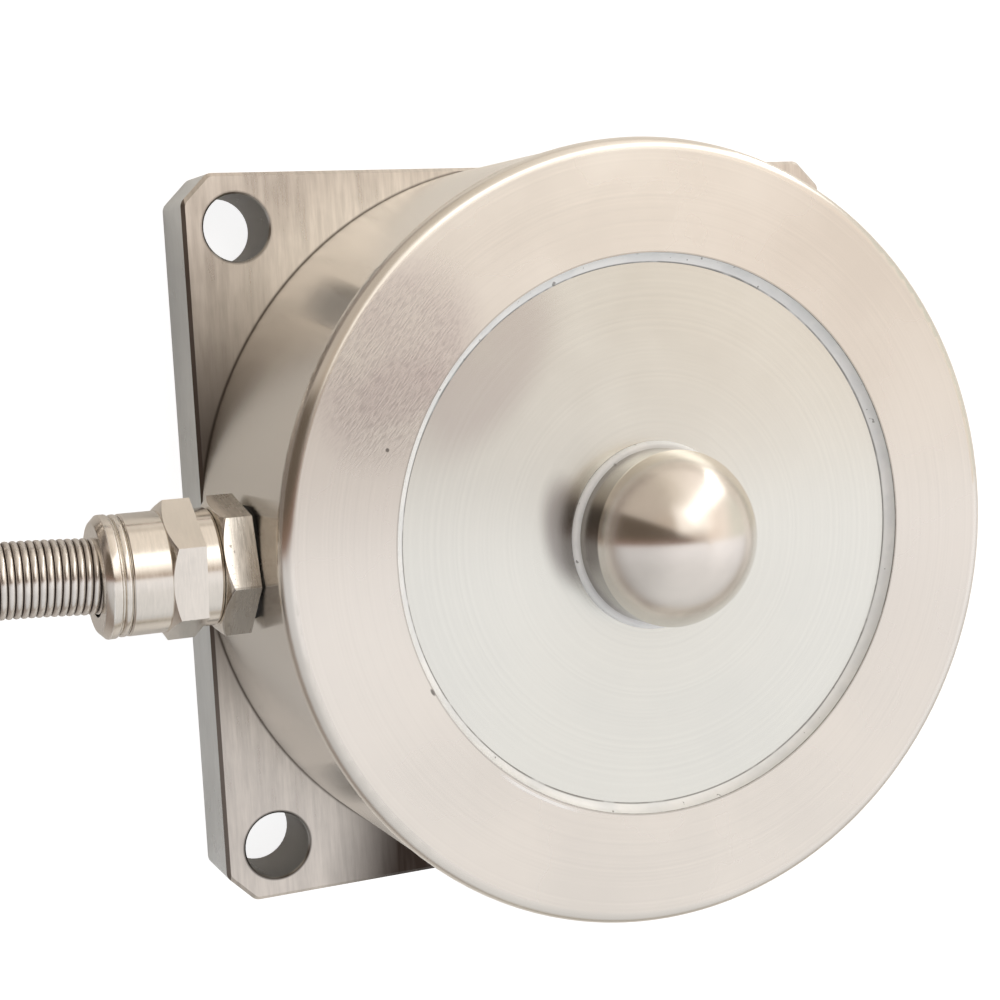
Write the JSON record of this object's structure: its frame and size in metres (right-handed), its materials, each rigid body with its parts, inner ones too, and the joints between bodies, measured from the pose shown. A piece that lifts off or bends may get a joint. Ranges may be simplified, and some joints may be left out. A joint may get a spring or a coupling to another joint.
{
  "type": "strain gauge load cell",
  "caption": "Compression load cell: spoked steel body on a square bolt-down plate, sealed cover disc, domed load button, and a cable gland with flexible steel conduit",
  "frame": {"origin": "centre of the four mounting holes, on the underside of the base plate", "axes": "+Z is the load axis and points out of the load button; the cable gland points along -X; the plate's sides lie along X and Y"},
  "size_m": [0.2669, 0.1537, 0.0594],
  "materials": {
    "plate_steel": "nickel-plated steel with straight grinding lines",
    "plated_steel": "turned steel, warm nickel plating, semi-gloss",
    "cover_steel": "turned disc, satin",
    "button_steel": "polished hardened steel, plated",
    "screw_steel": "zinc-plated steel",
    "plated_brass": "nickel-plated brass, worn at the corners",
    "conduit_steel": "stainless strip wound into a ridged conduit",
    "white_silicone": "cured white silicone, satin",
    "black_rubber": "moulded black rubber",
    "gauge_foil": "amber film over a metal foil grid",
    "wire_enamel": "enamelled copper wire bundle",
    "board_laminate": "glass-filled laminate with solder pads",
    "resistor_ceramic": "coated ceramic chip",
    "core_insulation": "thin plastic insulation",
    "cable_sheath": "grey cable sheath, matte",
    "red_insulation": "plastic insulation",
    "black_insulation": "plastic insulation",
    "green_insulation": "plastic insulation",
    "white_insulation": "plastic insulation",
    "tinned_copper": "tinned stranded wire"
  },
  "bodies": {
    "root": {"base_plate": "plate_steel", "base_screws": "screw_steel", "base_gasket": "black_rubber", "sensing_body": "plated_steel", "strain_gauges": "gauge_foil", "gauge_wires": "wire_enamel", "lower_cover_disc": "cover_steel", "terminal_board": "board_laminate", "bridge_resistors": "resistor_ceramic", "cable_cores": "core_insulation", "cover_disc": "cover_steel", "outer_seal_bead": "white_silicone", "button_seal_bead": "white_silicone", "load_button": "button_steel", "gland_washer": "black_rubber", "gland_body": "plated_brass", "gland_nut": "plated_brass", "cable_grommet": "black_rubber", "clamp_ring": "plated_brass", "conduit_adaptor": "plated_brass", "signal_cable": "cable_sheath", "steel_conduit": "conduit_steel", "conduit_coil": "conduit_steel", "end_ferrule": "plated_brass", "cable_tail": "cable_sheath", "lead_red": "red_insulation", "lead_black": "black_insulation", "lead_green": "green_insulation", "lead_white": "white_insulation", "shield_drain": "tinned_copper"}
  },
  "joints": []
}
